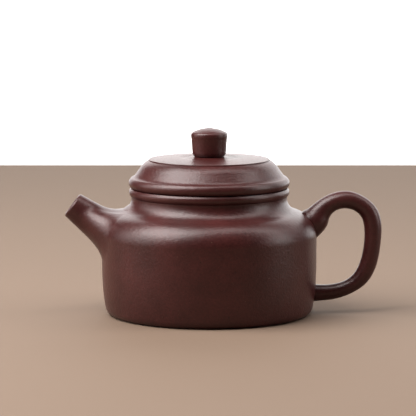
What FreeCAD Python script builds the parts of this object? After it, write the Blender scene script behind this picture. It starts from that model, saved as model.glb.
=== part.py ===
import FreeCAD, Part
import math
import os

# Yixing clay teapot with a drum-shaped body, a low neck and a seated lid.
# Units are millimetres. The origin is the centre of the ring that the pot rests on.
# +Z is up, the spout points along -X and the handle along +X, and the XZ plane is the plane of symmetry.

# ---- driving dimensions: pot -------------------------------------------------------------------
WALL = 2.7                  # thickness of the wall, shoulder and neck
RECESS_DEPTH = 0.8          # hollow pressed into the underside
RECESS_RADIUS = 34.0        # foot of the slope that leads from the recess to the resting ring
RING_INNER_RADIUS = 35.5    # inner edge of the resting ring
RING_OUTER_RADIUS = 38.9    # outer edge of the resting ring
FOOT_TOP = (41.80, 3.2)     # where the base slab's edge meets the wall (radius, height)
FOOT_TOP_LEAN = (0.19, 1.0)  # direction of the outline at that point
FLOOR_TOP = FOOT_TOP[1]     # top of the base slab
WALL_RADIUS = 43.1          # outside of the drum
TAPER_TOP = 21.0            # height above which the drum's side is upright
WALL_TOP = 31.6             # where the wall starts to roll over into the shoulder
SHOULDER_ROLL = 10.0        # radius of that roll
SHOULDER_TURN = 70.0        # degrees that the roll and the neck's fillet both turn through
NECK_FILLET = 5.5           # radius of the hollow between shoulder and neck
NECK_RADIUS = 31.2          # outside of the neck
NECK_START = 45.0           # degrees off upright at which the shoulder slab ends and the neck begins
NECK_TOP = 47.4             # underside of the rounded mouth ring
SEAT = 50.95                # flat top of the mouth ring, where the lid rests
SEAT_RADIUS = 30.5          # outer edge of that flat, where lid and pot touch
SEAM = 0.22                 # how far the lid and the mouth ring each draw back from the seat at their edges
MOUTH_RING_RADIUS = 32.1    # most prominent circle of the mouth ring
MOUTH_RING_MIDDLE = 49.1    # height of that circle
RING_FOOT = (31.3, NECK_TOP)        # mouth ring's outline: foot on the neck,
RING_BEVEL = (31.98, 50.0)          # end of the rounding and start of the bevel,
RING_BROW = (31.45, SEAT - SEAM)    # end of the bevel, at the seam under the lid
FLOOR_FILLET = 3.4          # inside corner between floor and wall

# ---- driving dimensions: spout and strainer ----------------------------------------------------
SPOUT_TIP = (-55.05, 44.0)  # centre of the spout's mouth (x, z)
SPOUT_RISE = 36.3           # degrees that the spout rises towards its tip
LIP_ROUND = 0.8             # rounding of the spout's outer lip
LIP_RADIUS = 5.30           # outside of the spout at its tip
SPOUT_TAPER = 0.133         # growth of that radius per millimetre back from the tip
SKIRT_START = 9.2           # distance back from the tip at which the spout starts to flare into a skirt,
SKIRT_START_BESIDE = 4.0    # and the same at either side
SKIRT_ABOVE = 13.7          # how far from the spout's axis the skirt ends: towards the neck,
SKIRT_BELOW = 11.3          # down the wall
SKIRT_BESIDE = 17.0         # and round the wall at either side
SKIRT_LEAVE = 1.2           # how long the skirt keeps the spout's direction above and below,
SKIRT_LEAVE_BESIDE = 0.75   # the same at either side,
SKIRT_ARRIVE = 0.82         # and how long it keeps its last direction, as shares of the distance spanned
SKIRT_BITE = 12.0           # degrees at which the skirt's edge dips into the wall
SKIRT_DIP = 3.0             # how far the skirt runs on into the wall before it is trimmed off
SKIRT_SHARES = (0.15, 0.3, 0.45, 0.6, 0.75, 0.9, 1.0)   # where the flare is sampled along its length
SPOUT_POINTS = 32           # places round the spout that each of its rings runs through
SPOUT_ROOT_X = -30.0        # oval inside the pot at which the untrimmed spout stops
SPOUT_ROOT_WIDTH = 22.0
SPOUT_ROOT_HEIGHT = 18.0
# centre (x, z), radius and rise of the axis in degrees, for the channel inside the spout
CHANNEL_SECTIONS = [
    (-55.85, 44.59, 3.55, 36.3),
    (-50.20, 40.40, 4.10, 36.3),
    (-45.60, 36.60, 4.60, 36.0),
    (-41.30, 32.90, 5.00, 30.0),
    (-37.80, 31.00, 5.20, 18.0),
]
STRAINER_CENTRE = (-40.2, 30.6)
STRAINER_RADIUS = 8.4
STRAINER_WALL = 1.5
STRAINER_HOLE = 0.9         # radius of each hole
STRAINER_RINGS = [(0.0, 1), (24.0, 6), (47.0, 12)]  # degrees off the dome's axis, holes in the ring

# ---- driving dimensions: handle ----------------------------------------------------------------
# centre line (x, z) and radius, from inside the shoulder over the top and down to the wall
HANDLE_STATIONS = [
    (37.2, 32.4, 5.75),
    (40.75, 36.3, 5.80),
    (42.9, 38.4, 5.42),
    (44.2, 40.2, 4.65),
    (47.0, 43.2, 3.75),
    (51.0, 45.4, 3.52),
    (55.6, 45.9, 3.52),
    (60.6, 44.1, 3.42),
    (64.2, 40.6, 3.56),
    (65.7, 35.5, 3.52),
    (65.6, 28.5, 3.35),
    (64.2, 20.8, 3.38),
    (61.0, 14.4, 3.22),
    (56.0, 10.6, 2.92),
    (50.0, 8.7, 3.10),
    (44.4, 8.2, 3.30),
    (39.0, 8.2, 3.90),
]

# ---- driving dimensions: lid -------------------------------------------------------------------
LID_EDGE_RADIUS = 31.5      # lid's outline at the seam
LID_BEAD_RADIUS = 32.2      # most prominent circle of the bead line
COVE_FOOT = (31.0, 55.05)   # where the bead line meets the hollow above it
COVE_TOP = (29.6, 56.13)    # where that hollow meets the lid's straight slope
SLOPE_TOP = (27.6, 58.95)   # where the slope rolls over towards the disc
DISC_RADIUS = 24.2          # raised disc on top of the lid
DISC_FOOT = 61.95           # height at which the disc stands on the lid
DISC_EDGE = 62.2            # top of the disc's upright edge
DISC_ROUND = 0.2            # rounding of that edge
BRIM = (12.6, 63.12)        # where the disc dips into the shallow hollow round the knob
KNOB_SEAT = 63.3            # flat land in the middle of the disc
KNOB_SEAT_RADIUS = 6.4
KNOB_TOP = 74.75
VENT_RADIUS = 1.1           # hole down through the knob and the lid
FLANGE_RADIUS = 28.2        # outside of the ring that drops into the mouth
FLANGE_INNER_RADIUS = 26.2
FLANGE_BOTTOM = 42.0
FLANGE_EDGE = 0.8           # height of the flange's rounded lower edge
FLANGE_THINNING = (0.2, 0.3)    # how much thinner the flange is at that edge, inside and outside
LID_CEILING = 58.4          # flat underside of the lid's dome
CEILING_FILLET = 3.0        # inside corner between that ceiling and the flange
KNOB_FOOT = (5.75, KNOB_SEAT)   # knob's outline: tucked-in foot,
KNOB_WAIST = (6.76, 65.0)   # start of the cone's straight side,
KNOB_FLARE = (7.14, 70.4)   # end of the straight side,
KNOB_CROWN = (6.45, 73.30)  # and start of the shallow crown
KNOB_HOLE_EDGE = 0.4        # rounding of the vent's upper edge

AXIS_UP = FreeCAD.Vector(0, 0, 1)
ORIGIN = FreeCAD.Vector(0, 0, 0)


# ---- drawing helpers: every outline lies in the XZ plane, as (radius, height) pairs ------------
def point(radius, height):
    return FreeCAD.Vector(radius, 0, height)


def line(start, end):
    return Part.LineSegment(point(*start), point(*end)).toShape()


def arc(start, middle, end):
    return Part.Arc(point(*start), point(*middle), point(*end)).toShape()


def arc_about(centre, radius, from_degrees, to_degrees):
    """Arc round a centre, with 0 degrees pointing outwards and 90 degrees up."""
    places = []
    for degrees in (from_degrees, (from_degrees + to_degrees) / 2, to_degrees):
        turn = math.radians(degrees)
        places.append((centre[0] + radius * math.cos(turn), centre[1] + radius * math.sin(turn)))
    return arc(*places)


def smooth(places, first=None, last=None):
    """Spline through the places, with optional directions at its two ends."""
    curve = Part.BSplineCurve()
    vectors = [point(*place) for place in places]
    if first is None:
        curve.interpolate(vectors)
    else:
        curve.interpolate(Points=vectors, InitialTangent=point(*first), FinalTangent=point(*last))
    return curve.toShape()


def ends(edge):
    return edge.valueAt(edge.FirstParameter), edge.valueAt(edge.LastParameter)


def outline_face(edges):
    """Flat face inside an outline. Gaps between one edge and the next are closed with straight lines."""
    closed = []
    for index, edge in enumerate(edges):
        closed.append(edge)
        stop = ends(edge)[1]
        restart = ends(edges[(index + 1) % len(edges)])[0]
        if stop.distanceToPoint(restart) > 1e-6:
            closed.append(Part.LineSegment(stop, restart).toShape())
    return Part.Face(Part.Wire(closed))


def turned(face):
    """Solid of revolution of a flat face about Z."""
    return one_solid(face.revolve(ORIGIN, AXIS_UP, 360))


def revolved(edges):
    return turned(outline_face(edges))


def one_solid(shape):
    """The single solid that a cut is meant to leave."""
    solids = sorted(shape.Solids, key=lambda solid: solid.Volume)
    return solids[-1]


def ring_section(x, z, radius, rise):
    """Circle in space about (x, 0, z), square to an axis in the XZ plane that rises by so many degrees."""
    turn = math.radians(rise)
    axis = FreeCAD.Vector(-math.cos(turn), 0, math.sin(turn))
    circle = Part.Circle(point(x, z), axis, radius)
    return Part.Wire([circle.toShape()])


def closed_curve(places):
    """Smooth closed curve in space through the places."""
    curve = Part.BSplineCurve()
    curve.interpolate(Points=places, PeriodicFlag=True)
    return Part.Wire([curve.toShape()])


def hermite(start, end, leave, arrive, share):
    """Place part of the way along the cubic that leaves start and arrives at end with those tangents."""
    rest = 1 - share
    return (
        start * (rest ** 2 * (1 + 2 * share))
        + leave * (rest ** 2 * share)
        + end * (share ** 2 * (3 - 2 * share))
        - arrive * (share ** 2 * rest)
    )


# ---- pot outline -------------------------------------------------------------------------------
ROLL_CENTRE = (WALL_RADIUS - SHOULDER_ROLL, WALL_TOP)


def fillet_centre():
    """Centre of the neck's fillet, placed so that the slope touches both the roll and the fillet."""
    turn = math.radians(SHOULDER_TURN)
    slope_start = ROLL_CENTRE[0] + SHOULDER_ROLL * math.cos(turn)
    slope_end = NECK_RADIUS + NECK_FILLET * (1 - math.cos(turn))
    climb = (slope_start - slope_end) / math.tan(turn)
    height = WALL_TOP + (SHOULDER_ROLL + NECK_FILLET) * math.sin(turn) + climb
    return NECK_RADIUS + NECK_FILLET, height


def roll_arc(inset, start, stop):
    """Arc of the shoulder's roll, an inset inside the clay, between two angles."""
    return arc_about(ROLL_CENTRE, SHOULDER_ROLL - inset, start, stop)


def fillet_arc(inset, start, stop):
    """Arc of the neck's fillet, an inset inside the clay, between two turns away from upright."""
    return arc_about(fillet_centre(), NECK_FILLET + inset, 180 + start, 180 + stop)


def foot_curve():
    """The rounded foot, from the resting ring up to the top of the base slab."""
    places = [(RING_OUTER_RADIUS, 0.0), (40.40, 0.55), (41.40, 1.85), FOOT_TOP]
    return smooth(places, first=(1.0, 0.12), last=FOOT_TOP_LEAN)


def wall_curve():
    """The barely tapering lower wall, which is upright from its last point on."""
    places = [FOOT_TOP, (42.45, 7.50), (42.90, 13.50), (WALL_RADIUS, TAPER_TOP)]
    return smooth(places, first=FOOT_TOP_LEAN, last=(0.0, 1.0))


def make_base_slab():
    return revolved([
        line((0.0, FLOOR_TOP), (0.0, RECESS_DEPTH)),
        line((0.0, RECESS_DEPTH), (RECESS_RADIUS, RECESS_DEPTH)),
        line((RECESS_RADIUS, RECESS_DEPTH), (RING_INNER_RADIUS, 0.0)),
        line((RING_INNER_RADIUS, 0.0), (RING_OUTER_RADIUS, 0.0)),
        foot_curve(),
    ])


def make_body_wall():
    inner = WALL_RADIUS - WALL
    corner_centre = (inner - FLOOR_FILLET, FLOOR_TOP + FLOOR_FILLET)
    return revolved([
        wall_curve(),
        line((WALL_RADIUS, TAPER_TOP), (WALL_RADIUS, WALL_TOP)),
        line((WALL_RADIUS, WALL_TOP), (inner, WALL_TOP)),
        arc_about(corner_centre, FLOOR_FILLET, 0, -90),
    ])


def make_shoulder_slab():
    return revolved([
        roll_arc(0.0, 0, SHOULDER_TURN),
        fillet_arc(0.0, SHOULDER_TURN, NECK_START),
        fillet_arc(WALL, NECK_START, SHOULDER_TURN),
        roll_arc(WALL, SHOULDER_TURN, 0),
    ])


def make_neck_collar():
    inner = NECK_RADIUS - WALL
    return revolved([
        fillet_arc(0.0, NECK_START, 0),
        line((NECK_RADIUS, NECK_TOP), (inner, NECK_TOP)),
        fillet_arc(WALL, 0, NECK_START),
    ])


def make_mouth_ring():
    """Rounded ring with a bevelled brow and a flat seat for the lid."""
    inner = NECK_RADIUS - WALL
    return revolved([
        arc(RING_FOOT, (MOUTH_RING_RADIUS, MOUTH_RING_MIDDLE), RING_BEVEL),
        line(RING_BEVEL, RING_BROW),
        line(RING_BROW, (SEAT_RADIUS, SEAT)),
        line((inner, SEAT), (inner, NECK_TOP)),
    ])


def make_pot_core():
    """The pot's outside filled solid, which spout and handle are trimmed against."""
    return revolved([
        line((0.0, NECK_TOP), (0.0, 0.0)),
        line((0.0, 0.0), (RING_OUTER_RADIUS, 0.0)),
        foot_curve(),
        wall_curve(),
        roll_arc(0.0, 0, SHOULDER_TURN),
        fillet_arc(0.0, SHOULDER_TURN, 0),
        line((NECK_RADIUS, NECK_TOP), (0.0, NECK_TOP)),
    ])


def make_pot_hollow():
    """The space inside the wall and shoulder, which the strainer is trimmed to."""
    inner = WALL_RADIUS - WALL
    return revolved([
        line((0.0, WALL_TOP), (0.0, FLOOR_TOP + FLOOR_FILLET)),
        line((0.0, FLOOR_TOP + FLOOR_FILLET), (inner, FLOOR_TOP + FLOOR_FILLET)),
        roll_arc(WALL, 0, SHOULDER_TURN),
    ])


# ---- spout -------------------------------------------------------------------------------------
def skin_radius(height):
    """Outside radius of the upright wall, the shoulder and the neck at a height."""
    turn = math.radians(SHOULDER_TURN)
    roll_top = WALL_TOP + SHOULDER_ROLL * math.sin(turn)
    hollow = fillet_centre()
    if height <= WALL_TOP:
        return WALL_RADIUS
    if height <= roll_top:
        return ROLL_CENTRE[0] + math.sqrt(SHOULDER_ROLL ** 2 - (height - WALL_TOP) ** 2)
    if height <= hollow[1] - NECK_FILLET * math.sin(turn):
        return ROLL_CENTRE[0] + SHOULDER_ROLL * math.cos(turn) - (height - roll_top) * math.tan(turn)
    below = max(0.0, hollow[1] - height)
    return hollow[0] - math.sqrt(NECK_FILLET ** 2 - below ** 2)


def skin_normal(place):
    """Direction square to the pot's outside at a place on it."""
    step = 0.05
    lean = (skin_radius(place.z + step) - skin_radius(place.z - step)) / (2 * step)
    around = FreeCAD.Vector(place.x, place.y, 0).normalize()
    return (around - AXIS_UP * lean).normalize()


def landing(start, direction):
    """Where a straight line from a start outside the pot first meets its outside."""
    low, high = 0.0, 2 * WALL_RADIUS
    places = [start + direction * (high * k / 100) for k in range(101)]
    for number, place in enumerate(places):
        if math.hypot(place.x, place.y) < skin_radius(place.z):
            low, high = high * (number - 1) / 100, high * number / 100
            break
    while high - low > 1e-7:
        middle = (low + high) / 2
        place = start + direction * middle
        if math.hypot(place.x, place.y) < skin_radius(place.z):
            high = middle
        else:
            low = middle
    return start + direction * high


def skirt_reach(turn):
    """How far from the spout's axis the skirt ends: 0 is above the spout and a quarter turn beside it."""
    middle = (SKIRT_ABOVE + SKIRT_BELOW) / 2
    tilt = (SKIRT_ABOVE - SKIRT_BELOW) / 2
    widening = (SKIRT_BESIDE - middle) / 2
    return middle + widening + tilt * math.cos(turn) - widening * math.cos(2 * turn)


def beside(turn, upright, sideways):
    """Blend from a value above and below the spout's axis to another value at either side of it."""
    return upright + (sideways - upright) * math.sin(turn) ** 2


def spout_line(turn):
    """Places down one side of the spout, from the tip to just under the pot's outside."""
    rise = math.radians(SPOUT_RISE)
    back = FreeCAD.Vector(math.cos(rise), 0, -math.sin(rise))
    upward = FreeCAD.Vector(math.sin(rise), 0, math.cos(rise))
    away = upward * math.cos(turn) + FreeCAD.Vector(0, -math.sin(turn), 0)
    tip = point(*SPOUT_TIP)
    bite = math.radians(SKIRT_BITE)
    skirt_start = beside(turn, SKIRT_START, SKIRT_START_BESIDE)

    places = []
    for distance in (0.0, skirt_start / 2, skirt_start):
        places.append(tip + back * distance + away * (LIP_RADIUS + SPOUT_TAPER * distance))
    start = places[-1]
    end = landing(tip + away * skirt_reach(turn), back)
    normal = skin_normal(end)
    along_skin = (away - normal * away.dot(normal)).normalize()
    leave = (back + away * SPOUT_TAPER).normalize()
    arrive = along_skin * math.cos(bite) - normal * math.sin(bite)
    span = start.distanceToPoint(end)
    leave_length = span * beside(turn, SKIRT_LEAVE, SKIRT_LEAVE_BESIDE)
    arrive_length = span * SKIRT_ARRIVE
    for share in SKIRT_SHARES:
        places.append(hermite(start, end, leave * leave_length, arrive * arrive_length, share))
    places.append(end + arrive * SKIRT_DIP)
    return places


def spout_root_place(turn):
    """Place on the oval inside the pot at which the untrimmed spout stops."""
    across = -SPOUT_ROOT_WIDTH / 2 * math.sin(turn)
    height = WALL_TOP + SPOUT_ROOT_HEIGHT / 2 * math.cos(turn)
    return FreeCAD.Vector(SPOUT_ROOT_X, across, height)


def make_spout_body():
    """Solid spout with its skirt, running on into the pot as far as a closed curve inside it."""
    turns = [2 * math.pi * number / SPOUT_POINTS for number in range(SPOUT_POINTS)]
    rings = [closed_curve(ring) for ring in zip(*[spout_line(turn) for turn in turns])]
    root = closed_curve([spout_root_place(turn) for turn in turns])
    skirt = Part.makeLoft(rings, False, False)
    stub = Part.makeLoft([rings[-1], root], False, True)
    shell = Part.makeShell(skirt.Faces + stub.Faces + [Part.Face(rings[0]), Part.Face(root)])
    shell.sewShape()
    return Part.makeSolid(shell)


def is_lip(edge):
    """True for the outer edge of the spout's mouth."""
    near = edge.CenterOfMass.distanceToPoint(point(*SPOUT_TIP)) < 0.1
    return near and abs(edge.Length - 2 * math.pi * LIP_RADIUS) < 0.1


def make_spout(core, channel):
    """Spout and skirt, trimmed to the outside of the pot, bored through and rounded at the lip."""
    spout = one_solid(make_spout_body().cut(core).cut(channel))
    return spout.makeFillet(LIP_ROUND, [edge for edge in spout.Edges if is_lip(edge)])


def make_channel():
    """The space that the tea runs through, from inside the wall to beyond the lip."""
    sections = [ring_section(*section) for section in CHANNEL_SECTIONS]
    return Part.makeLoft(sections, True, False)


def make_strainer():
    """Perforated dome over the inner end of the channel, trimmed to the inside of the wall."""
    centre = point(*STRAINER_CENTRE)
    dome = Part.makeSphere(STRAINER_RADIUS, centre)
    dome = dome.cut(Part.makeSphere(STRAINER_RADIUS - STRAINER_WALL, centre))
    dome = dome.common(make_pot_hollow())
    for tilt, count in STRAINER_RINGS:
        for number in range(count):
            dome = dome.cut(strainer_drill(centre, tilt, 360.0 * number / count))
    return one_solid(dome)


def strainer_drill(centre, tilt, around):
    """A thin cylinder from the dome's centre outwards, tilted away from +X and turned about it."""
    tilt = math.radians(tilt)
    around = math.radians(around)
    direction = FreeCAD.Vector(
        math.cos(tilt),
        math.sin(tilt) * math.sin(around),
        math.sin(tilt) * math.cos(around),
    )
    start = centre + direction * (STRAINER_RADIUS - 2 * STRAINER_WALL)
    return Part.makeCylinder(STRAINER_HOLE, 3 * STRAINER_WALL, start, direction)


# ---- handle ------------------------------------------------------------------------------------
def make_handle_body():
    """Ear-shaped coil of clay: circles square to a smooth centre line, joined into one skin."""
    centre_line = Part.BSplineCurve()
    centre_line.interpolate([point(x, z) for x, z, radius in HANDLE_STATIONS])
    sections = []
    for x, z, radius in HANDLE_STATIONS:
        place = point(x, z)
        axis = centre_line.tangent(centre_line.parameter(place))[0]
        sections.append(Part.Wire([Part.Circle(place, axis, radius).toShape()]))
    return Part.makeLoft(sections, True, False)


# ---- lid ---------------------------------------------------------------------------------------
def make_lid_rim():
    """Flat ring that rests on the mouth, with the bead line round its edge."""
    bead_height = (SEAT + COVE_FOOT[1]) / 2
    edge = (LID_EDGE_RADIUS, SEAT + SEAM)
    return revolved([
        line((FLANGE_INNER_RADIUS, SEAT), (SEAT_RADIUS, SEAT)),
        line((SEAT_RADIUS, SEAT), edge),
        arc(edge, (LID_BEAD_RADIUS, bead_height), COVE_FOOT),
        line(COVE_FOOT, (FLANGE_INNER_RADIUS, COVE_FOOT[1])),
    ])


def make_lid_dome():
    """Sloping side of the lid with the hollow under it, and the vent through its top."""
    ceiling_centre = (FLANGE_INNER_RADIUS - CEILING_FILLET, LID_CEILING - CEILING_FILLET)
    return revolved([
        line((FLANGE_INNER_RADIUS, COVE_FOOT[1]), COVE_FOOT),
        arc(COVE_FOOT, (30.23, 55.49), COVE_TOP),
        line(COVE_TOP, SLOPE_TOP),
        arc(SLOPE_TOP, (26.08, 60.65), (DISC_RADIUS, DISC_FOOT)),
        line((DISC_RADIUS, DISC_FOOT), (VENT_RADIUS, DISC_FOOT)),
        line((VENT_RADIUS, DISC_FOOT), (VENT_RADIUS, LID_CEILING)),
        arc_about(ceiling_centre, CEILING_FILLET, 90, 0),
    ])


def make_lid_disc():
    """Raised disc, slightly crowned, with a crisp edge, a shallow hollow and a flat land for the knob."""
    edge_top = (DISC_RADIUS - DISC_ROUND, DISC_EDGE + DISC_ROUND)
    land = (KNOB_SEAT_RADIUS, KNOB_SEAT)
    return revolved([
        line((VENT_RADIUS, DISC_FOOT), (DISC_RADIUS, DISC_FOOT)),
        line((DISC_RADIUS, DISC_FOOT), (DISC_RADIUS, DISC_EDGE)),
        arc_about((DISC_RADIUS - DISC_ROUND, DISC_EDGE), DISC_ROUND, 0, 90),
        arc(edge_top, (18.3, 62.88), BRIM),
        smooth([BRIM, (9.4, 62.86), land], first=(-1.0, 0.02), last=(-1.0, 0.30)),
        line(land, (VENT_RADIUS, KNOB_SEAT)),
    ])


def make_lid_flange():
    """Ring that drops into the mouth and keeps the lid central, thinner at its lower edge."""
    edge_height = FLANGE_BOTTOM + FLANGE_EDGE
    edge_inside = FLANGE_INNER_RADIUS + FLANGE_THINNING[0]
    edge_outside = FLANGE_RADIUS - FLANGE_THINNING[1]
    return revolved([
        line((FLANGE_RADIUS, SEAT), (FLANGE_INNER_RADIUS, SEAT)),
        line((FLANGE_INNER_RADIUS, SEAT), (edge_inside, edge_height)),
        arc(
            (edge_inside, edge_height),
            ((edge_inside + edge_outside) / 2, FLANGE_BOTTOM),
            (edge_outside, edge_height),
        ),
    ])


def make_knob():
    """Truncated cone, wider at the top, with a shallow crown and a tucked-in foot."""
    hole_edge_centre = (VENT_RADIUS + KNOB_HOLE_EDGE, KNOB_TOP - KNOB_HOLE_EDGE)
    return revolved([
        line((VENT_RADIUS, KNOB_SEAT), KNOB_FOOT),
        arc(KNOB_FOOT, (6.36, 64.00), KNOB_WAIST),
        line(KNOB_WAIST, KNOB_FLARE),
        smooth([KNOB_FLARE, (7.31, 71.75), (7.14, 72.75), KNOB_CROWN]),
        arc(KNOB_CROWN, (4.10, 74.25), (hole_edge_centre[0], KNOB_TOP)),
        arc_about(hole_edge_centre, KNOB_HOLE_EDGE, 90, 180),
    ])


# ---- assembly ----------------------------------------------------------------------------------
def build():
    core = make_pot_core()
    channel = make_channel()
    nodes = {}

    nodes["base_slab"] = make_base_slab()
    nodes["body_wall"] = make_body_wall().cut(channel)
    nodes["shoulder_slab"] = make_shoulder_slab().cut(channel)
    nodes["neck_collar"] = make_neck_collar()
    nodes["mouth_ring"] = make_mouth_ring()
    nodes["spout"] = make_spout(core, channel)
    nodes["spout_strainer"] = make_strainer()
    nodes["handle"] = make_handle_body().cut(core)

    nodes["lid_flange"] = make_lid_flange()
    nodes["lid_rim"] = make_lid_rim()
    nodes["lid_dome"] = make_lid_dome()
    nodes["lid_disc"] = make_lid_disc()
    nodes["lid_knob"] = make_knob()
    return nodes


os.makedirs("parts", exist_ok=True)
for node, shape in build().items():
    solid = one_solid(shape)
    if not solid.isValid():
        raise ValueError(node + " is not a valid solid")
    solid.exportStep("parts/" + node + ".step")
    box = solid.BoundBox
    print("%-15s %8.1f mm3  solids %d  x %6.2f %6.2f  z %6.2f %6.2f" % (
        node, solid.Volume, len(shape.Solids), box.XMin, box.XMax, box.ZMin, box.ZMax))
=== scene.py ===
import math

import bmesh
import bpy
import numpy as np
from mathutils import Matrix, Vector


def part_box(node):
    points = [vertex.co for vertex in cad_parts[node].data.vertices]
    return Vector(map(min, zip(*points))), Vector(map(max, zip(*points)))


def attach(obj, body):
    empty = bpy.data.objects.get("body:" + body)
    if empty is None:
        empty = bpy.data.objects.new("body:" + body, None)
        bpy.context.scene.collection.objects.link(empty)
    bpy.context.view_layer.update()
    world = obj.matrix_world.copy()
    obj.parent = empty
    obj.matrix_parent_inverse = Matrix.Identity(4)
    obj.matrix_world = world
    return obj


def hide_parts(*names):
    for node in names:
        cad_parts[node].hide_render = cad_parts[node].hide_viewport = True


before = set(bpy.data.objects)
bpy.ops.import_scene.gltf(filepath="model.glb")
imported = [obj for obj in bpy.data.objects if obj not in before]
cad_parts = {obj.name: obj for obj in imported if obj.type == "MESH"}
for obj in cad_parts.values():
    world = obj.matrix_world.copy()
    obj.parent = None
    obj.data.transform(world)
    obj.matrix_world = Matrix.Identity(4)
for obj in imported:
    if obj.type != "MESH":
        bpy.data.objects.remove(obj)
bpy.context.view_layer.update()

# Lengths below are millimetres; meshes are written in metres, in the frame's own axes:
# +Z up from the ring that the pot rests on, the spout along -X and the handle along +X.
MM = 0.001
FINE = 0.3                  # spacing of the points along an outline
SEGMENTS = 256              # faces round the pot
UNEVEN = 0.0012             # waviness of hand-worked clay, as a share of the radius
# its waves: share, number round the pot, phase, and phase per millimetre of height
WAVES = [(0.55, 2, 0.7, 0.02), (0.30, 3, 2.1, -0.05), (0.15, 5, 4.0, 0.09)]
SEARCH_PLACES = 160         # places tried along a path for where it meets the skin,
SEARCH_HALVINGS = 30        # and halvings of the gap between two of them


# ---- sizes read from the frame -------------------------------------------------------------------
def radius_of(node):
    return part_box(node)[1].y / MM


def top_of(node):
    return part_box(node)[1].z / MM


def bottom_of(node):
    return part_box(node)[0].z / MM


FLOOR_TOP = top_of("base_slab")
WALL_TOP = top_of("body_wall")
NECK_TOP = bottom_of("mouth_ring")
SEAT = top_of("mouth_ring")
MOUTH_RING_RADIUS = radius_of("mouth_ring")
LID_BEAD_RADIUS = radius_of("lid_rim")
COVE_Z = top_of("lid_rim")
DISC_RADIUS = radius_of("lid_disc")
DISC_FOOT = bottom_of("lid_disc")
KNOB_SEAT = bottom_of("lid_knob")
KNOB_TOP = top_of("lid_knob")
FLANGE_RADIUS = radius_of("lid_flange")
FLANGE_BOTTOM = bottom_of("lid_flange")

# ---- sizes that the frame's boxes don't give -----------------------------------------------------
WALL = 2.7
WALL_RADIUS = 43.1
RESTING_RING = (35.5, 38.9)
RECESS = (34.0, 0.8)
FOOT_TOP = (41.8, FLOOR_TOP)
FOOT_TOP_LEAN = (0.19, 1.0)
TAPER_TOP = 21.0            # height above which the wall is upright
FLOOR_FILLET = 3.4
SHOULDER_ROLL = 10.0
SHOULDER_TURN = 70.0
NECK_FILLET = 5.5
NECK_RADIUS = 31.2
NECK_START = 45.0
RING_FOOT = (NECK_RADIUS + 0.1, NECK_TOP)       # mouth ring's outline: foot on the neck,
RING_MIDDLE = 49.1          # height of its most prominent circle,
RING_BEVEL = (31.98, 50.0)  # start of the bevel along its upper edge
MOUTH_ROUND = 0.35          # rounding of the mouth's inner edge
SEAT_RADIUS = 30.5          # the lid and the mouth ring touch inside this radius
SEAM = 0.22                 # how far each of them falls away from the seat outside it
SEAT_GAP = 0.01             # keeps the mesh of the turning rim clear of the ring and flange under it
RING_BROW = (NECK_RADIUS + 0.25, SEAT - SEAM)   # end of the bevel, at the seam
LID_EDGE_RADIUS = 31.5
COVE_FOOT = (31.0, COVE_Z)  # hollow between the bead line and the lid's slope
COVE_TOP = (29.6, 56.13)
SLOPE_TOP = (27.6, 58.95)   # end of the lid's straight slope, which starts at the cove
DISC_EDGE = 62.2            # top of the disc's upright edge
DISC_ROUND = 0.2
BRIM = (12.6, 63.12)        # where the disc dips into the shallow hollow round the knob
KNOB_SEAT_RADIUS = 6.4
FLANGE_INNER_RADIUS = 26.2
FLANGE_EDGE = 0.8           # height of the flange's rounded lower edge
FLANGE_THINNING = (0.2, 0.3)    # how much thinner the flange is there, inside and outside
LID_CEILING = 58.4
CEILING_FILLET = 3.0
VENT_RADIUS = 1.1
KNOB_FOOT = (5.75, KNOB_SEAT)
KNOB_WAIST = (6.76, 65.0)   # start of the knob's straight side,
KNOB_FLARE = (7.14, 70.4)   # its end,
KNOB_CROWN = (6.45, 73.3)   # and the start of the shallow crown
KNOB_HOLE_EDGE = 0.4
KNOB_SEGMENTS = 128

SPOUT_TIP = np.array([-55.05, 0.0, 44.0])
SPOUT_RISE = math.radians(36.3)
LIP_RADIUS = 5.30
LIP_ROUND = 0.8
SPOUT_TAPER = 0.133         # growth of the spout's radius per millimetre back from the tip
SKIRT_START = 9.2           # distance back from the tip at which the spout starts to flare,
SKIRT_START_BESIDE = 4.0    # and the same at its two sides
SKIRT_ABOVE = 13.7          # how far from the spout's axis the skirt ends: towards the neck,
SKIRT_BELOW = 11.3          # down the wall
SKIRT_BESIDE = 17.0         # and round the wall at either side
SKIRT_LEAVE = 1.2           # how long the skirt keeps the spout's direction above and below,
SKIRT_LEAVE_BESIDE = 0.75   # the same at its two sides,
SKIRT_ARRIVE = 0.82         # and how long it keeps its last direction, as shares of the distance spanned
SKIRT_SEARCH = (0.0, 45.0)  # distances back from the tip between which the skirt meets the skin
# distance back from the tip with the channel's radius, and with its sag below the spout's axis
CHANNEL_RADII = [(0.0, 3.55), (6.0, 4.10), (11.8, 4.60), (17.0, 5.00), (22.0, 5.20)]
CHANNEL_DROP = [(0.0, 0.0), (8.0, 0.0), (17.0, 1.2), (22.0, 1.6)]
CHANNEL_SEARCH = (4.0, 26.0)    # where along the channel it passes through the skin
CHANNEL_CUT = (8.0, 24.0)   # stretch of the channel that is cut out of wall and shoulder
CUT_SIDES = 64
CUT_RINGS = 12
BORE_ROUND = 0.6            # rounding of the channel's edge at the lip
SPOUT_SIDES = 128
LIP_STEPS = 6               # points along each stretch of the spout's outline: rounded lip,
TAPER_STEPS = 24            # taper,
FLARE_STEPS = 40            # flare,
CHANNEL_STEPS = 24          # channel
BORE_STEPS = 5              # and its rounded edge

HANDLE_SINK = 0.4           # how far the handle's ends sink into the skin
HANDLE_SIDES = 56
HANDLE_STEPS = 220
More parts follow.
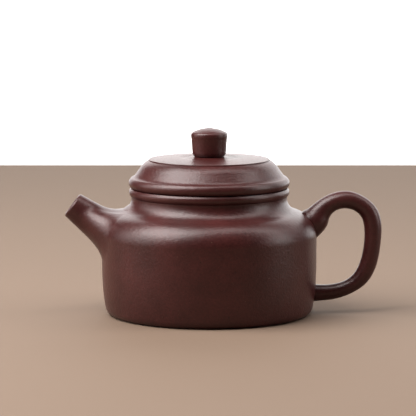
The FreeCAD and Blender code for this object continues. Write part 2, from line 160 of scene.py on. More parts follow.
# centre line (x, z) and radius, from inside the shoulder over the top and down into the wall
HANDLE_STATIONS = np.array([
    (37.2, 32.4, 5.75),
    (40.75, 36.3, 5.80),
    (42.9, 38.4, 5.42),
    (44.2, 40.2, 4.65),
    (47.0, 43.2, 3.75),
    (51.0, 45.4, 3.52),
    (55.6, 45.9, 3.52),
    (60.6, 44.1, 3.42),
    (64.2, 40.6, 3.56),
    (65.7, 35.5, 3.52),
    (65.6, 28.5, 3.35),
    (64.2, 20.8, 3.38),
    (61.0, 14.4, 3.22),
    (56.0, 10.6, 2.92),
    (50.0, 8.7, 3.10),
    (44.4, 8.2, 3.30),
    (39.0, 8.2, 3.90),
])

STRAINER_CENTRE = np.array([-40.2, 0.0, 30.6])
STRAINER_RADIUS = 8.4
STRAINER_WALL = 1.5
STRAINER_HOLE = 0.9
STRAINER_RINGS = [(0.0, 1), (24.0, 6), (47.0, 12)]  # degrees off the dome's axis, holes in the ring
STRAINER_SINK = 0.3         # how far the dome's edge sinks into the wall
STRAINER_SEARCH = (0.2, 2.2)    # tilts between which the dome meets the wall, in radians
STRAINER_SIDES = 72
STRAINER_STEPS = 20
DRILL_SIDES = 20

# ---- clay: linear colours, and sizes in millimetres ----------------------------------------------
CLAY_DARK = (0.051, 0.0145, 0.0135)
CLAY_LIGHT = (0.077, 0.0215, 0.0205)
SPECK_PALE = (0.30, 0.20, 0.15)
SPECK_DARK = (0.015, 0.008, 0.008)
GRAIN_DARK = (0.80, 0.80, 0.80)     # the grain's two ends multiply the clay's tone
GRAIN_LIGHT = (1.18, 1.16, 1.14)
BLACK = (0.0, 0.0, 0.0)
WHITE = (1.0, 1.0, 1.0)
CLOUD_SIZE = 14.0
GRAIN_SIZE = 0.8
SPECK_SIZE = 0.45
PIT_SIZE = 0.8
SAND_SIZE = 1.25
GRAIN_ROUGHNESS = 0.65      # how strongly the grain's finer detail counts
BURNISH = (0.29, 0.39)      # roughness where the skin is burnished most, and least
GRAIN_BUMP = (0.6, 0.12)    # strength and height of the fine bump
SAND_BUMP = (0.36, 0.16)    # and of the sandy bump
CLAY_IOR = 1.55

# ---- stage, light and camera: metres, watts and linear colours -----------------------------------
FLOOR_FRONT = -0.9
FLOOR_BACK = 0.55
FLOOR_SIDE = 1.2
TABLE_COLOUR = (0.22, 0.165, 0.125)
TABLE_ROUGHNESS = 0.8
TABLE_SPECULAR = 0.2
BACKDROP_Y = 1.1
BACKDROP_X = (-0.6, 2.0)
BACKDROP_Z = (-1.0, 1.4)
PAPER_GREY = 0.8
BACKDROP_GLOW = 1.6
ROOM_COLOUR = (1.0, 0.95, 0.93)
ROOM_STRENGTH = 0.04
LAMP_COLOUR = (1.0, 0.955, 0.94)
LIGHT_DISTANCE = 0.8
LIT_POINT = Vector((0.0, 0.0, 0.045))
# name, azimuth (0 along +X, 90 behind the pot) and elevation in degrees, (width, height), power
SOFTBOXES = [
    ("key", 201, 53, (0.70, 0.58), 9.3),
    ("key_fade", 200, 27, (0.70, 0.34), 1.4),
    ("left_wall", 184, 16, (0.80, 0.44), 1.8),
    ("right", 0, 46, (0.30, 0.50), 1.6),
    ("low_right", 353, 14, (0.36, 0.40), 1.5),
    ("above", 300, 78, (0.55, 0.28), 1.7),
]
CAMERA_ELEVATION = math.radians(7.2)
CAMERA_DISTANCE = 1.004
CAMERA_TARGET = Vector((-0.00048, 0.0, 0.04256))
CAMERA_ANGLE = math.radians(9.51)


# ---- outlines ------------------------------------------------------------------------------------
def line(start, end, spacing=FINE):
    """Points from start up to, but not including, end."""
    start, end = np.array(start, float), np.array(end, float)
    count = max(1, int(np.linalg.norm(end - start) / spacing))
    return [start + (end - start) * k / count for k in range(count)]


def arc_about(centre, radius, start, stop, spacing=FINE):
    """Points round a centre, angles in degrees with 0 outwards and 90 up, without the last one."""
    centre = np.array(centre, float)
    count = max(3, int(abs(math.radians(stop - start)) * radius / spacing))
    turns = [math.radians(start + (stop - start) * k / count) for k in range(count)]
    return [centre + radius * np.array([math.cos(t), math.sin(t)]) for t in turns]


def arc(start, middle, end, spacing=FINE):
    """Points of the arc through three places, without the last one."""
    a, b, c = (complex(*place) for place in (start, middle, end))
    w = (c - a) / (b - a)
    centre = a + (b - a) * (w - abs(w) ** 2) / (2j * w.imag)
    first = math.degrees(np.angle(a - centre))
    swept = math.degrees(np.angle((c - centre) / (a - centre)))
    return arc_about((centre.real, centre.imag), abs(a - centre), first, first + swept, spacing)


def smooth(places, first=None, last=None, spacing=FINE):
    """Points along a curve through the places, with optional end directions, without the last one."""
    places = np.array(places, float)
    gaps = np.linalg.norm(np.diff(places, axis=0), axis=1)
    lengths = np.concatenate([[0.0], np.cumsum(gaps)])
    slopes = np.gradient(places, lengths, axis=0)
    for index, direction in ((0, first), (-1, last)):
        if direction is not None:
            slopes[index] = np.array(direction) / np.linalg.norm(direction)
    out = []
    for k, gap in enumerate(gaps):
        count = max(2, int(gap / spacing))
        for t in np.arange(count) / count:
            out.append(hermite(places[k], places[k + 1], slopes[k] * gap, slopes[k + 1] * gap, t))
    return out


def hermite(start, end, leave, arrive, t):
    """Point at t, from 0 to 1, on the cubic that leaves start and arrives at end with those tangents."""
    a = 2 * t ** 3 - 3 * t ** 2 + 1
    b = t ** 3 - 2 * t ** 2 + t
    c = -2 * t ** 3 + 3 * t ** 2
    d = t ** 3 - t ** 2
    return a * start + b * leave + c * end + d * arrive


def along(table, place):
    """Value at a place in a short table of (place, value) pairs."""
    places, values = zip(*table)
    return float(np.interp(place, places, values))


# ---- pot outline ---------------------------------------------------------------------------------
ROLL_CENTRE = (WALL_RADIUS - SHOULDER_ROLL, WALL_TOP)


def fillet_centre():
    turn = math.radians(SHOULDER_TURN)
    slope_start = ROLL_CENTRE[0] + SHOULDER_ROLL * math.cos(turn)
    slope_end = NECK_RADIUS + NECK_FILLET * (1 - math.cos(turn))
    climb = (slope_start - slope_end) / math.tan(turn)
    return NECK_RADIUS + NECK_FILLET, WALL_TOP + (SHOULDER_ROLL + NECK_FILLET) * math.sin(turn) + climb


def roll_arc(inset, start, stop):
    return arc_about(ROLL_CENTRE, SHOULDER_ROLL - inset, start, stop)


def fillet_arc(inset, start, stop):
    return arc_about(fillet_centre(), NECK_FILLET + inset, 180 + start, 180 + stop)


def foot_curve():
    places = [(RESTING_RING[1], 0.0), (40.40, 0.55), (41.40, 1.85), FOOT_TOP]
    return smooth(places, (1.0, 0.12), FOOT_TOP_LEAN, FINE / 2)


def wall_curve():
    places = [FOOT_TOP, (42.45, 7.50), (42.90, 13.50), (WALL_RADIUS, TAPER_TOP)]
    return smooth(places, FOOT_TOP_LEAN, (0, 1))


def on_roll(inset, turn):
    turn = math.radians(turn)
    radius = SHOULDER_ROLL - inset
    return ROLL_CENTRE[0] + radius * math.cos(turn), ROLL_CENTRE[1] + radius * math.sin(turn)


def on_fillet(inset, turn):
    centre, turn = fillet_centre(), math.radians(180 + turn)
    radius = NECK_FILLET + inset
    return centre[0] + radius * math.cos(turn), centre[1] + radius * math.sin(turn)


# ---- meshes --------------------------------------------------------------------------------------
def unevenness(points):
    """Slight waviness of hand-worked clay, the same for every piece: a factor on the radius."""
    turn = np.arctan2(points[:, 1], points[:, 0])
    height = points[:, 2]
    wave = np.zeros(len(points))
    for share, count, phase, climb in WAVES:
        wave += share * np.sin(count * turn + phase + climb * height)
    return 1 + UNEVEN * wave


def add_mesh(name, points, faces, crease=35.0):
    """Object from points in millimetres, smooth-shaded except across sharp edges."""
    mesh = bpy.data.meshes.new(name)
    mesh.from_pydata([tuple(p) for p in np.asarray(points) * MM], [], faces)
    mesh.validate()
    tidy = bmesh.new()
    tidy.from_mesh(mesh)
    bmesh.ops.recalc_face_normals(tidy, faces=tidy.faces)
    tidy.to_mesh(mesh)
    tidy.free()
    mesh.shade_smooth()
    mesh.set_sharp_from_angle(angle=math.radians(crease))
    piece = bpy.data.objects.new(name, mesh)
    bpy.context.scene.collection.objects.link(piece)
    return piece


def grid_faces(rings, per_ring, closed_rings=False):
    """Quads between successive rings of equally many points."""
    faces = []
    for ring in range(rings if closed_rings else rings - 1):
        here, there = ring * per_ring, ((ring + 1) % rings) * per_ring
        for k in range(per_ring):
            after = (k + 1) % per_ring
            faces.append((here + k, here + after, there + after, there + k))
    return faces


def turned(name, outline, segments=SEGMENTS):
    """Solid of revolution of a closed outline of (radius, height) points, with fans at the axis."""
    outline = [np.array(p) for p in outline]
    on_axis = [k for k, p in enumerate(outline) if p[0] < 1e-6]
    turns = np.arange(segments) * 2 * math.pi / segments
    ring_ids, points = [], []
    for k, (radius, height) in enumerate(outline):
        start = len(points)
        if k in on_axis:
            points.append((0.0, 0.0, height))
            ring_ids.append([start] * segments)
        else:
            points += [(radius * math.cos(t), radius * math.sin(t), height) for t in turns]
            ring_ids.append(list(range(start, start + segments)))
    faces = []
    for k, here in enumerate(ring_ids):
        there = ring_ids[(k + 1) % len(ring_ids)]
        for i in range(segments):
            j = (i + 1) % segments
            corners = [here[i], here[j], there[j], there[i]]
            face = list(dict.fromkeys(corners))
            if len(face) > 2:
                faces.append(face)
    points = np.array(points)
    factor = unevenness(points)
    points[:, 0] *= factor
    points[:, 1] *= factor
    return add_mesh(name, points, faces)


# ---- the pot's skin, which spout, strainer and handle are fitted to ------------------------------
def side_table(inset):
    """Radius against height outside (inset 0) or inside (inset WALL) of wall, shoulder and neck."""
    if inset:
        low = [np.array((WALL_RADIUS - inset, FLOOR_TOP))]
    else:
        low = foot_curve() + wall_curve()
    outline = low + roll_arc(inset, 0, SHOULDER_TURN) + fillet_arc(inset, SHOULDER_TURN, 0)
    outline.append(np.array((NECK_RADIUS - inset, NECK_TOP)))
    return np.array(outline)


OUTSIDE = side_table(0.0)
INSIDE = side_table(WALL)


def depth(place, table=OUTSIDE):
    """How far a point lies inside the skin, measured towards the axis."""
    skin = np.interp(place[2], table[:, 1], table[:, 0]) * unevenness(place[None, :])[0]
    return skin - math.hypot(place[0], place[1])


def skin_normal(place):
    """Outward direction of the outside skin at a point on it."""
    step = 0.05
    low, high = np.interp([place[2] - step, place[2] + step], OUTSIDE[:, 1], OUTSIDE[:, 0])
    lean = (high - low) / (2 * step)
    around = np.array([place[0], place[1], 0.0]) / math.hypot(place[0], place[1])
    normal = around - np.array([0.0, 0.0, lean])
    return normal / np.linalg.norm(normal)


def crossing(path, low, high, wanted=0.0, table=OUTSIDE):
    """Parameter between low and high at which a path first reaches the wanted depth under a skin."""
    places = np.linspace(low, high, SEARCH_PLACES)
    depths = [depth(path(t), table) - wanted for t in places]
    started = depths[0] > 0
    for before, after, reached in zip(places, places[1:], depths[1:]):
        if (reached > 0) != started:
            for halving in range(SEARCH_HALVINGS):
                middle = (before + after) / 2
                if (depth(path(middle), table) - wanted > 0) != started:
                    after = middle
                else:
                    before = middle
            return (before + after) / 2
    raise ValueError("the path never reaches the skin")


# ---- pot pieces ----------------------------------------------------------------------------------
def make_base_slab():
    outline = [(0.0, FLOOR_TOP), (0.0, RECESS[1])]
    outline += line((RECESS[0] / 2, RECESS[1]), RECESS, spacing=2.0)
    outline += line(RECESS, (RESTING_RING[0], 0.0))
    outline += line((RESTING_RING[0], 0.0), (RESTING_RING[1], 0.0))
    outline += foot_curve()
    outline += line(FOOT_TOP, (WALL_RADIUS - WALL, FLOOR_TOP), spacing=1.0)
    outline += [(WALL_RADIUS - WALL, FLOOR_TOP), (WALL_RADIUS / 2, FLOOR_TOP)]
    return turned("base_slab_clay", outline)


def make_body_wall():
    inner = WALL_RADIUS - WALL
    corner = (inner - FLOOR_FILLET, FLOOR_TOP + FLOOR_FILLET)
    outline = wall_curve() + line((WALL_RADIUS, TAPER_TOP), (WALL_RADIUS, WALL_TOP), spacing=1.0)
    outline += line((WALL_RADIUS, WALL_TOP), (inner, WALL_TOP), spacing=1.0)
    outline += line((inner, WALL_TOP), (inner, corner[1]), spacing=1.5)
    outline += arc_about(corner, FLOOR_FILLET, 0, -90)
    outline += line((corner[0], FLOOR_TOP), FOOT_TOP, spacing=1.0)
    return turned("body_wall_clay", outline)


def make_shoulder():
    outline = roll_arc(0.0, 0, SHOULDER_TURN)
    outline += line(on_roll(0.0, SHOULDER_TURN), on_fillet(0.0, SHOULDER_TURN))
    outline += fillet_arc(0.0, SHOULDER_TURN, NECK_START)
    outline += line(on_fillet(0.0, NECK_START), on_fillet(WALL, NECK_START), spacing=0.9)
    outline += fillet_arc(WALL, NECK_START, SHOULDER_TURN)
    outline += line(on_fillet(WALL, SHOULDER_TURN), on_roll(WALL, SHOULDER_TURN))
    outline += roll_arc(WALL, SHOULDER_TURN, 0)
    outline += line((WALL_RADIUS - WALL, WALL_TOP), (WALL_RADIUS, WALL_TOP), spacing=0.9)
    return turned("shoulder_clay", outline)


def make_neck():
    inner = NECK_RADIUS - WALL
    outline = fillet_arc(0.0, NECK_START, 0)
    outline += line(on_fillet(0.0, 0), (NECK_RADIUS, NECK_TOP))
    outline += line((NECK_RADIUS, NECK_TOP), (inner, NECK_TOP), spacing=0.9)
    outline += line((inner, NECK_TOP), on_fillet(WALL, 0))
    outline += fillet_arc(WALL, 0, NECK_START)
    outline += line(on_fillet(WALL, NECK_START), on_fillet(0.0, NECK_START), spacing=0.9)
    return turned("neck_clay", outline)


def make_mouth_ring():
    inner = NECK_RADIUS - WALL
    round_centre = (inner + MOUTH_ROUND, SEAT - MOUTH_ROUND)
    outline = arc(RING_FOOT, (MOUTH_RING_RADIUS, RING_MIDDLE), RING_BEVEL, spacing=0.12)
    outline += line(RING_BEVEL, RING_BROW, spacing=0.2)
    outline += line(RING_BROW, (SEAT_RADIUS, SEAT), spacing=0.2)
    outline += line((SEAT_RADIUS, SEAT), (round_centre[0], SEAT), spacing=0.5)
    outline += arc_about(round_centre, MOUTH_ROUND, 90, 180, spacing=0.1)
    outline += line((inner, round_centre[1]), (inner, NECK_TOP), spacing=0.5)
    outline += line((inner, NECK_TOP), RING_FOOT, spacing=0.5)
    return turned("mouth_ring_clay", outline)


# ---- spout ---------------------------------------------------------------------------------------
BACK = np.array([math.cos(SPOUT_RISE), 0.0, -math.sin(SPOUT_RISE)])     # from the tip into the pot
UPWARD = np.array([math.sin(SPOUT_RISE), 0.0, math.cos(SPOUT_RISE)])    # square to it, towards the lid
FRONT = np.array([0.0, -1.0, 0.0])


def outwards(turn):
    """Direction square to the spout's axis, with 0 upwards and a quarter turn towards -Y."""
    return UPWARD * math.cos(turn) + FRONT * math.sin(turn)


def skirt_reach(turn):
    """How far from the spout's axis the skirt ends: turn 0 is above it and a quarter turn beside."""
    middle = (SKIRT_ABOVE + SKIRT_BELOW) / 2
    tilt = (SKIRT_ABOVE - SKIRT_BELOW) / 2
    widening = (SKIRT_BESIDE - middle) / 2
    return middle + widening + tilt * math.cos(turn) - widening * math.cos(2 * turn)


def beside(turn, upright, sideways):
    """Value that goes from one in the spout's upright plane to another square to it."""
    return upright + (sideways - upright) * math.sin(turn) ** 2


def spout_side(turn, back):
    """Point on the spout's taper."""
    return SPOUT_TIP + BACK * back + outwards(turn) * (LIP_RADIUS + SPOUT_TAPER * back)


def spout_outside(turn):
    """Points along the outside for one direction: rounded lip, taper, and flare down to the skin."""
    away = outwards(turn)
    points = []
    for step in range(LIP_STEPS):
        angle = math.pi / 2 * step / LIP_STEPS
        edge = spout_side(turn, LIP_ROUND * (1 - math.cos(angle)))
        points.append(edge - away * LIP_ROUND * (1 - math.sin(angle)))
    flare = beside(turn, SKIRT_START, SKIRT_START_BESIDE)
    points += [spout_side(turn, back) for back in np.linspace(LIP_ROUND, flare, TAPER_STEPS)]
    start = points.pop()
    leave = BACK + away * SPOUT_TAPER
    leave *= beside(turn, SKIRT_LEAVE, SKIRT_LEAVE_BESIDE) / np.linalg.norm(leave)
    outer = SPOUT_TIP + away * skirt_reach(turn)
    end = outer + BACK * crossing(lambda t: outer + BACK * t, *SKIRT_SEARCH)
    normal = skin_normal(end)
    arrive = away - normal * (away @ normal)
    arrive /= np.linalg.norm(arrive)
    span = np.linalg.norm(end - start)
    for share in np.linspace(0.0, 1.0, FLARE_STEPS + 1):
        points.append(hermite(start, end, leave * span, arrive * span * SKIRT_ARRIVE, share))
    return points


def channel_point(turn, back):
    centre = SPOUT_TIP + BACK * back - UPWARD * along(CHANNEL_DROP, back)
    return centre + outwards(turn) * along(CHANNEL_RADII, back)


def spout_inside(turn):
    """Points along the channel for one direction, from the skin back out to the lip."""
    away = outwards(turn)
    deep = crossing(lambda t: channel_point(turn, t), *CHANNEL_SEARCH)
    points = []
    for step in range(CHANNEL_STEPS + 1):
        points.append(channel_point(turn, deep + (BORE_ROUND - deep) * step / CHANNEL_STEPS))
    bore = along(CHANNEL_RADII, 0.0)
    for step in range(1, BORE_STEPS + 1):
        angle = math.pi / 2 * step / BORE_STEPS
        back = BORE_ROUND * (1 - math.sin(angle))
        radius = bore + BORE_ROUND * (1 - math.cos(angle))
        points.append(SPOUT_TIP + BACK * back + away * radius)
    return points


def capped_tube(name, rings, sides):
    """Tube through successive rings of equally many points, closed flat at both ends."""
    faces = grid_faces(len(rings), sides)
    faces.append(tuple(range(sides - 1, -1, -1)))
    last = (len(rings) - 1) * sides
    faces.append(tuple(range(last, last + sides)))
    return add_mesh(name, np.array(rings).reshape(-1, 3), faces)


def make_spout():
    turns = np.arange(SPOUT_SIDES) * 2 * math.pi / SPOUT_SIDES
    lines = [spout_outside(t) + spout_inside(t) for t in turns]
    rings = np.array(lines).transpose(1, 0, 2)
    faces = grid_faces(len(rings), SPOUT_SIDES, closed_rings=True)
    return add_mesh("spout_clay", rings.reshape(-1, 3), faces)


def make_channel_cutter():
    """Tube that cuts the channel's hole through wall and shoulder."""
    turns = np.arange(CUT_SIDES) * 2 * math.pi / CUT_SIDES
    places = np.linspace(*CHANNEL_CUT, CUT_RINGS)
    rings = [[channel_point(t, back) for t in turns] for back in places]
    return capped_tube("channel_cutter", rings, CUT_SIDES)


def carve(piece, cutter):
    """Cut one mesh out of another for good."""
    cut = piece.modifiers.new("cut", "BOOLEAN")
    cut.operation = "DIFFERENCE"
    cut.solver = "EXACT"
    cut.object = cutter
    made = bpy.data.meshes.new_from_object(piece.evaluated_get(bpy.context.evaluated_depsgraph_get()))
    piece.modifiers.clear()
    piece.data = made
    made.name = piece.name


# ---- strainer ------------------------------------------------------------------------------------
def dome_point(radius, tilt, around):
    across = math.sin(tilt)
    direction = np.array([math.cos(tilt), across * math.sin(around), across * math.cos(around)])
    return STRAINER_CENTRE + radius * direction


def dome_line(radius, around):
    """Points on one shell of the dome, from near its axis down to the wall."""
    landing = crossing(
        lambda tilt: dome_point(radius, tilt, around), *STRAINER_SEARCH, -STRAINER_SINK, INSIDE)
    tilts = [landing * (step + 0.5) / STRAINER_STEPS for step in range(STRAINER_STEPS)]
    return [dome_point(radius, tilt, around) for tilt in tilts]


def make_strainer():
    """Domed shell with drilled holes, as one tube from its outer to its inner pole."""
    lines = []
    for around in np.arange(STRAINER_SIDES) * 2 * math.pi / STRAINER_SIDES:
        outer = dome_line(STRAINER_RADIUS, around)
        inner = dome_line(STRAINER_RADIUS - STRAINER_WALL, around)
        lines.append(outer + inner[::-1])
    rings = np.array(lines).transpose(1, 0, 2)
    dome = capped_tube("strainer_clay", rings, STRAINER_SIDES)
    for tilt, count in STRAINER_RINGS:
        for number in range(count):
            drill = make_drill(math.radians(tilt), 2 * math.pi * number / count)
            carve(dome, drill)
            bpy.data.objects.remove(drill)
    return dome


def make_drill(tilt, around):
    """Thin cylinder through the dome at one of its holes."""
    start = dome_point(STRAINER_RADIUS - 2 * STRAINER_WALL, tilt, around)
    end = dome_point(STRAINER_RADIUS + STRAINER_WALL, tilt, around)
    axis = Vector(end - start).normalized()
    first = axis.orthogonal().normalized()
    second = axis.cross(first)
    rings = []
    for centre in (start, end):
        ring = []
        for k in range(DRILL_SIDES):
            turn = 2 * math.pi * k / DRILL_SIDES
            square = np.array(first * math.cos(turn) + second * math.sin(turn))
            ring.append(centre + STRAINER_HOLE * square)
        rings.append(ring)
    return capped_tube("drill", rings, DRILL_SIDES)


# ---- handle --------------------------------------------------------------------------------------
def spline_through(knots, values):
    """Natural cubic spline, as a function of the knot variable."""
    count = len(knots)
    gaps = np.diff(knots)
    matrix = np.eye(count)
    right = np.zeros((count,) + values.shape[1:])
    for k in range(1, count - 1):
        matrix[k, k - 1:k + 2] = gaps[k - 1], 2 * (gaps[k - 1] + gaps[k]), gaps[k]
        rise = (values[k + 1] - values[k]) / gaps[k] - (values[k] - values[k - 1]) / gaps[k - 1]
        right[k] = 6 * rise
    bends = np.linalg.solve(matrix, right)

    def at(place):
        k = int(np.clip(np.searchsorted(knots, place) - 1, 0, count - 2))
        gap, left, ahead = gaps[k], place - knots[k], knots[k + 1] - place
        curve = (bends[k] * ahead ** 3 + bends[k + 1] * left ** 3) / (6 * gap)
        return curve + (values[k] / gap - bends[k] * gap / 6) * ahead + (
            values[k + 1] / gap - bends[k + 1] * gap / 6) * left

    return at


def make_handle():
    gaps = np.linalg.norm(np.diff(HANDLE_STATIONS[:, :2], axis=0), axis=1)
    knots = np.concatenate([[0.0], np.cumsum(gaps)])
    station = spline_through(knots, HANDLE_STATIONS)
    step_ahead = 0.05

    def surface(turn, place):
        here, ahead = station(place), station(place + step_ahead)
        heading = (ahead - here)[:2] / np.linalg.norm((ahead - here)[:2])
        centre = np.array([here[0], 0.0, here[1]])
        across = np.array([-heading[1], 0.0, heading[0]])
        return centre + here[2] * (across * math.cos(turn) + FRONT * math.sin(turn))

    middle = knots[-1] / 2
    arch = 0.6 * middle
    lower_end = knots[-1] - 0.1
    lines = []
    for turn in np.arange(HANDLE_SIDES) * 2 * math.pi / HANDLE_SIDES:
        start = crossing(lambda t: surface(turn, t), arch, 0.0, HANDLE_SINK)
        stop = crossing(lambda t: surface(turn, t), middle, lower_end, HANDLE_SINK)
        places = [start + (stop - start) * step / HANDLE_STEPS for step in range(HANDLE_STEPS + 1)]
        lines.append([surface(turn, place) for place in places])
    rings = np.array(lines).transpose(1, 0, 2)
    return capped_tube("handle_clay", rings, HANDLE_SIDES)


# ---- lid pieces ----------------------------------------------------------------------------------
def make_lid_flange():
    low = FLANGE_BOTTOM + FLANGE_EDGE
    inside = FLANGE_INNER_RADIUS + FLANGE_THINNING[0]
    outside = FLANGE_RADIUS - FLANGE_THINNING[1]
    outline = line((FLANGE_RADIUS, SEAT), (FLANGE_INNER_RADIUS, SEAT), spacing=0.5)
    outline += line((FLANGE_INNER_RADIUS, SEAT), (inside, low), spacing=0.6)
    outline += arc((inside, low), ((inside + outside) / 2, FLANGE_BOTTOM), (outside, low), spacing=0.1)
    outline += line((outside, low), (FLANGE_RADIUS, SEAT), spacing=0.6)
    return turned("lid_flange_clay", outline)


def make_lid_rim():
    middle = (SEAT + COVE_Z) / 2
    edge = (LID_EDGE_RADIUS, SEAT + SEAM)
    underside = SEAT + SEAT_GAP
    outline = line((FLANGE_INNER_RADIUS, underside), (SEAT_RADIUS, underside), spacing=0.6)
    outline += line((SEAT_RADIUS, underside), edge, spacing=0.2)
    outline += arc(edge, (LID_BEAD_RADIUS, middle), COVE_FOOT, spacing=0.12)
    outline += line(COVE_FOOT, (FLANGE_INNER_RADIUS, COVE_Z), spacing=0.6)
    outline += line((FLANGE_INNER_RADIUS, COVE_Z), (FLANGE_INNER_RADIUS, underside), spacing=0.6)
    return turned("lid_rim_clay", outline)


def make_lid_dome():
    ceiling = (FLANGE_INNER_RADIUS - CEILING_FILLET, LID_CEILING - CEILING_FILLET)
    outline = line((FLANGE_INNER_RADIUS, COVE_Z), COVE_FOOT, spacing=0.6)
    outline += arc(COVE_FOOT, (30.23, 55.49), COVE_TOP, spacing=0.1)
    outline += line(COVE_TOP, SLOPE_TOP, spacing=0.3)
    outline += arc(SLOPE_TOP, (26.12, 60.70), (DISC_RADIUS, DISC_FOOT), spacing=0.2)
    outline += line((DISC_RADIUS, DISC_FOOT), (VENT_RADIUS, DISC_FOOT), spacing=2.0)
    outline += line((VENT_RADIUS, DISC_FOOT), (VENT_RADIUS, LID_CEILING), spacing=0.6)
    outline += line((VENT_RADIUS, LID_CEILING), (ceiling[0], LID_CEILING), spacing=2.0)
    outline += arc_about(ceiling, CEILING_FILLET, 90, 0)
    return turned("lid_dome_clay", outline)


def make_lid_disc():
    land = (KNOB_SEAT_RADIUS, KNOB_SEAT)
    edge = (DISC_RADIUS - DISC_ROUND, DISC_EDGE + DISC_ROUND)
    outline = line((VENT_RADIUS, DISC_FOOT), (DISC_RADIUS, DISC_FOOT), spacing=2.0)
    outline += line((DISC_RADIUS, DISC_FOOT), (DISC_RADIUS, DISC_EDGE), spacing=0.2)
    outline += arc_about((DISC_RADIUS - DISC_ROUND, DISC_EDGE), DISC_ROUND, 0, 90, spacing=0.05)
    outline += arc(edge, (18.3, 62.88), BRIM, spacing=0.6)
    outline += smooth([BRIM, (9.4, 62.86), land], (-1.0, 0.02), (-1.0, 0.30), spacing=0.3)
    outline += line(land, (VENT_RADIUS, KNOB_SEAT), spacing=0.8)
    outline += line((VENT_RADIUS, KNOB_SEAT), (VENT_RADIUS, DISC_FOOT), spacing=0.6)
    return turned("lid_disc_clay", outline)


def make_knob():
    edge = KNOB_HOLE_EDGE
    hole_top = (VENT_RADIUS, KNOB_TOP - edge)
    crown_top = (VENT_RADIUS + edge, KNOB_TOP)
    outline = line((VENT_RADIUS, KNOB_SEAT), KNOB_FOOT, spacing=0.8)
    outline += arc(KNOB_FOOT, (6.36, 64.00), KNOB_WAIST, spacing=0.15)
    outline += line(KNOB_WAIST, KNOB_FLARE, spacing=0.4)
    shoulder = [KNOB_FLARE, (7.31, 71.75), (7.14, 72.75), KNOB_CROWN]
    outline += smooth(shoulder, (0.07, 1.0), (-1.0, 0.5), spacing=0.1)
    outline += arc(KNOB_CROWN, (4.10, 74.25), crown_top, spacing=0.2)
    outline += arc(crown_top, (VENT_RADIUS + 0.3 * edge, KNOB_TOP - 0.3 * edge), hole_top, spacing=0.06)
    outline += line(hole_top, (VENT_RADIUS, KNOB_SEAT), spacing=0.8)
    return turned("lid_knob_clay", outline, KNOB_SEGMENTS)


# ---- clay ----------------------------------------------------------------------------------------
def noise(tree, place, size, detail, rough=0.5):
    """Noise whose features are about so many millimetres across, in the object's own space."""
    node = tree.nodes.new("ShaderNodeTexNoise")
    node.location = place
    node.inputs["Scale"].default_value = 1 / (size * MM)
    node.inputs["Detail"].default_value = detail
    node.inputs["Roughness"].default_value = rough
    return node


def ramp(tree, place, stops):
    """Colour ramp from (position, colour) pairs."""
    node = tree.nodes.new("ShaderNodeValToRGB")
    node.location = place
    band = node.color_ramp
    while len(band.elements) < len(stops):
        band.elements.new(0.5)
    for element, (position, colour) in zip(band.elements, stops):
        element.position = position
        element.color = (*colour, 1.0)
    return node


def mixed(tree, place, share, first, second, blend="MIX"):
    """Colour mix of two sockets; share is a socket or a number."""
    node = tree.nodes.new("ShaderNodeMix")
    node.location = place
    node.data_type = "RGBA"
    node.blend_type = blend
    for socket, value in ((node.inputs[0], share), (node.inputs[6], first), (node.inputs[7], second)):
        if hasattr(value, "is_linked"):
            tree.links.new(value, socket)
        else:
            socket.default_value = value
    return node.outputs[2]


def bumped(tree, place, height, strength, distance):
    """Bump node for a height socket, whose full height is a distance in millimetres."""
    node = tree.nodes.new("ShaderNodeBump")
    node.location = place
    node.inputs["Strength"].default_value = strength
    node.inputs["Distance"].default_value = distance * MM
    tree.links.new(height, node.inputs["Height"])
    return node


def grey(value):
    return (value, value, value)


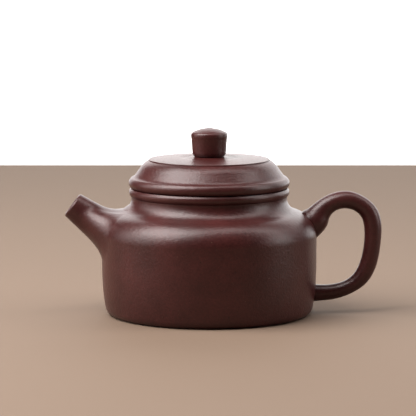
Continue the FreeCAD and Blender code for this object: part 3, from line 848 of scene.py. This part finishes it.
def make_clay():
    """Burnished purple-brown clay: cloudy tone, fine grain, pale and dark specks, a soft sheen."""
    material = bpy.data.materials.new("purple_clay")
    material.use_nodes = True
    tree = material.node_tree
    link = tree.links.new
    shader = tree.nodes["Principled BSDF"]
    place = tree.nodes.new("ShaderNodeTexCoord").outputs["Object"]

    cloud = noise(tree, (-1100, 500), CLOUD_SIZE, detail=3.0)
    grain = noise(tree, (-1100, 250), GRAIN_SIZE, detail=4.0, rough=GRAIN_ROUGHNESS)
    speck = noise(tree, (-1100, 0), SPECK_SIZE, detail=1.0)
    pit = noise(tree, (-1100, -250), PIT_SIZE, detail=1.0)
    sand = noise(tree, (-1100, -500), SAND_SIZE, detail=1.0)
    for node in (cloud, grain, speck, pit, sand):
        link(place, node.inputs["Vector"])

    tone = ramp(tree, (-850, 500), [(0.30, CLAY_DARK), (0.70, CLAY_LIGHT)])
    link(cloud.outputs["Fac"], tone.inputs["Fac"])
    fine = ramp(tree, (-850, 250), [(0.30, GRAIN_DARK), (0.70, GRAIN_LIGHT)])
    link(grain.outputs["Fac"], fine.inputs["Fac"])
    ground = mixed(tree, (-600, 400), 1.0, tone.outputs["Color"], fine.outputs["Color"], "MULTIPLY")
    pale = ramp(tree, (-850, 0), [(0.80, BLACK), (0.84, WHITE)])
    link(speck.outputs["Fac"], pale.inputs["Fac"])
    dark = ramp(tree, (-850, -250), [(0.18, WHITE), (0.24, BLACK)])
    link(pit.outputs["Fac"], dark.inputs["Fac"])
    with_pale = mixed(tree, (-400, 300), pale.outputs["Color"], ground, (*SPECK_PALE, 1.0))
    with_dark = mixed(tree, (-200, 300), dark.outputs["Color"], with_pale, (*SPECK_DARK, 1.0))
    link(with_dark, shader.inputs["Base Color"])

    polish = ramp(tree, (-600, -50), [(0.25, grey(BURNISH[0])), (0.75, grey(BURNISH[1]))])
    link(grain.outputs["Fac"], polish.inputs["Fac"])
    link(polish.outputs["Color"], shader.inputs["Roughness"])

    fine_bump = bumped(tree, (-250, -300), grain.outputs["Fac"], *GRAIN_BUMP)
    sandy_bump = bumped(tree, (-250, -500), sand.outputs["Fac"], *SAND_BUMP)
    link(fine_bump.outputs["Normal"], sandy_bump.inputs["Normal"])
    link(sandy_bump.outputs["Normal"], shader.inputs["Normal"])
    shader.inputs["IOR"].default_value = CLAY_IOR
    return material


# ---- floor, light and camera ---------------------------------------------------------------------
def add_sheet(name, corners, material):
    """Flat four-cornered stage piece, corners in metres."""
    mesh = bpy.data.meshes.new(name)
    mesh.from_pydata(corners, [], [(0, 1, 2, 3)])
    mesh.materials.append(material)
    sheet = bpy.data.objects.new(name, mesh)
    bpy.context.scene.collection.objects.link(sheet)
    return sheet


def make_stage():
    """Pale table that ends behind the pot, and a lit white backdrop beyond it."""
    table = bpy.data.materials.new("pale_table")
    table.use_nodes = True
    shader = table.node_tree.nodes["Principled BSDF"]
    shader.inputs["Base Color"].default_value = (*TABLE_COLOUR, 1.0)
    shader.inputs["Roughness"].default_value = TABLE_ROUGHNESS
    shader.inputs["Specular IOR Level"].default_value = TABLE_SPECULAR
    near, far = FLOOR_FRONT, FLOOR_BACK
    left, right = -FLOOR_SIDE, FLOOR_SIDE
    add_sheet("floor", [(left, near, 0), (right, near, 0), (right, far, 0), (left, far, 0)], table)

    paper = bpy.data.materials.new("lit_paper")
    paper.use_nodes = True
    shader = paper.node_tree.nodes["Principled BSDF"]
    shader.inputs["Base Color"].default_value = (*grey(PAPER_GREY), 1.0)
    shader.inputs["Emission Color"].default_value = (*WHITE, 1.0)
    shader.inputs["Emission Strength"].default_value = BACKDROP_GLOW
    left, right = BACKDROP_X
    low, high = BACKDROP_Z
    corners = [(left, low), (right, low), (right, high), (left, high)]
    add_sheet("backdrop", [(x, BACKDROP_Y, z) for x, z in corners], paper)


def add_softbox(name, azimuth, elevation, size, power):
    """Rectangular light LIGHT_DISTANCE from the pot and facing it."""
    lamp = bpy.data.lights.new(name, "AREA")
    lamp.shape = "RECTANGLE"
    lamp.size, lamp.size_y = size
    lamp.energy = power
    lamp.color = LAMP_COLOUR
    light = bpy.data.objects.new(name, lamp)
    turn, rise = math.radians(azimuth), math.radians(elevation)
    away = Vector((math.cos(rise) * math.cos(turn), math.cos(rise) * math.sin(turn), math.sin(rise)))
    light.location = LIT_POINT + away * LIGHT_DISTANCE
    light.rotation_euler = (LIT_POINT - light.location).to_track_quat("-Z", "Y").to_euler()
    bpy.context.scene.collection.objects.link(light)


def light_scene():
    for softbox in SOFTBOXES:
        add_softbox(*softbox)
    world = bpy.data.worlds.new("studio")
    world.use_nodes = True
    background = world.node_tree.nodes["Background"]
    background.inputs["Color"].default_value = (*ROOM_COLOUR, 1.0)
    background.inputs["Strength"].default_value = ROOM_STRENGTH
    bpy.context.scene.world = world
    bpy.context.scene.view_settings.view_transform = "Standard"
    bpy.context.scene.view_settings.look = "Medium High Contrast"


def place_camera():
    data = bpy.data.cameras.new("camera")
    data.angle = CAMERA_ANGLE
    data.dof.use_dof = False
    camera = bpy.data.objects.new("camera", data)
    away = Vector((0.0, -math.cos(CAMERA_ELEVATION), math.sin(CAMERA_ELEVATION)))
    camera.location = CAMERA_TARGET + away * CAMERA_DISTANCE
    camera.rotation_euler = (-away).to_track_quat("-Z", "Y").to_euler()
    bpy.context.scene.collection.objects.link(camera)
    bpy.context.scene.camera = camera


# ---- assembly ------------------------------------------------------------------------------------
def main():
    clay = make_clay()
    pieces = [
        (make_base_slab(), "base_slab", "pot"),
        (make_body_wall(), "body_wall", "pot"),
        (make_shoulder(), "shoulder_slab", "pot"),
        (make_neck(), "neck_collar", "pot"),
        (make_mouth_ring(), "mouth_ring", "pot"),
        (make_spout(), "spout", "pot"),
        (make_strainer(), "spout_strainer", "pot"),
        (make_handle(), "handle", "pot"),
        (make_lid_flange(), "lid_flange", "lid_seat"),
        (make_lid_rim(), "lid_rim", "lid"),
        (make_lid_dome(), "lid_dome", "lid"),
        (make_lid_disc(), "lid_disc", "lid"),
        (make_knob(), "lid_knob", "lid"),
    ]
    cutter = make_channel_cutter()
    for piece, node, body in pieces:
        if node in ("body_wall", "shoulder_slab"):
            carve(piece, cutter)
    bpy.data.objects.remove(cutter)
    for piece, node, body in pieces:
        piece.data.materials.append(clay)
        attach(piece, body)
        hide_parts(node)
    make_stage()
    light_scene()
    place_camera()


main()
